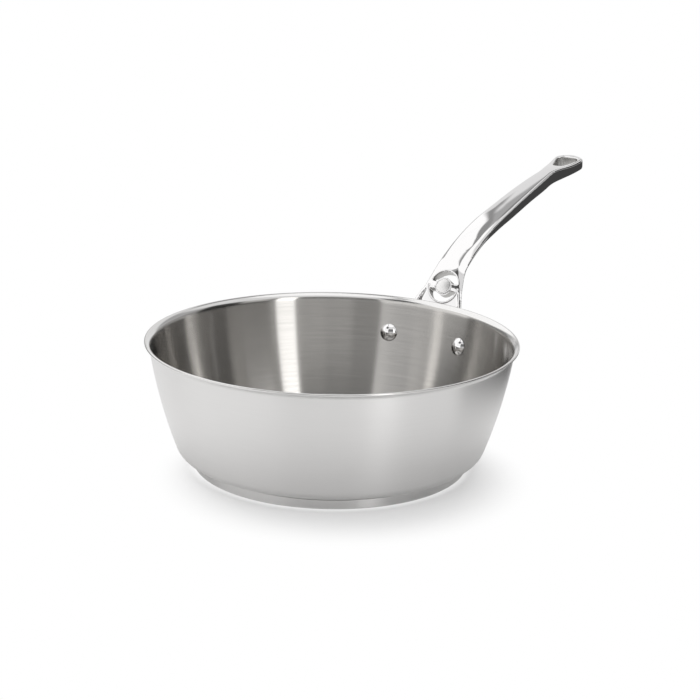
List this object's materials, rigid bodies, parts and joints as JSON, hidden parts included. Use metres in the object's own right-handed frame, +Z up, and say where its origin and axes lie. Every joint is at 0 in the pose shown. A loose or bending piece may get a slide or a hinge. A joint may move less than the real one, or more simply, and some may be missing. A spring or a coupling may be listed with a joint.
{
  "type": "saute pan",
  "caption": "Conical stainless saute pan with a flared rim, a capped disc base and a long riveted cast handle that ends in a hanging hole.",
  "frame": {"origin": "on the pan's axis, on the flat underside of the base", "axes": "+Z up along the pan's axis, +X along the handle, +Y to the left of the handle"},
  "size_m": [0.4491, 0.248, 0.1668],
  "materials": {
    "vessel": "brushed round the axis, satin",
    "base_cap": "brushed round the axis, satin",
    "base_core": "plain rolled",
    "handle": "mirror polished casting",
    "medallion": "polished, bare",
    "rivets": "polished"
  },
  "bodies": {
    "root": {"vessel": "vessel", "base_cap": "base_cap", "base_core": "base_core", "handle": "handle", "medallion": "medallion", "rivet_left": "rivets", "rivet_right": "rivets"}
  },
  "joints": []
}
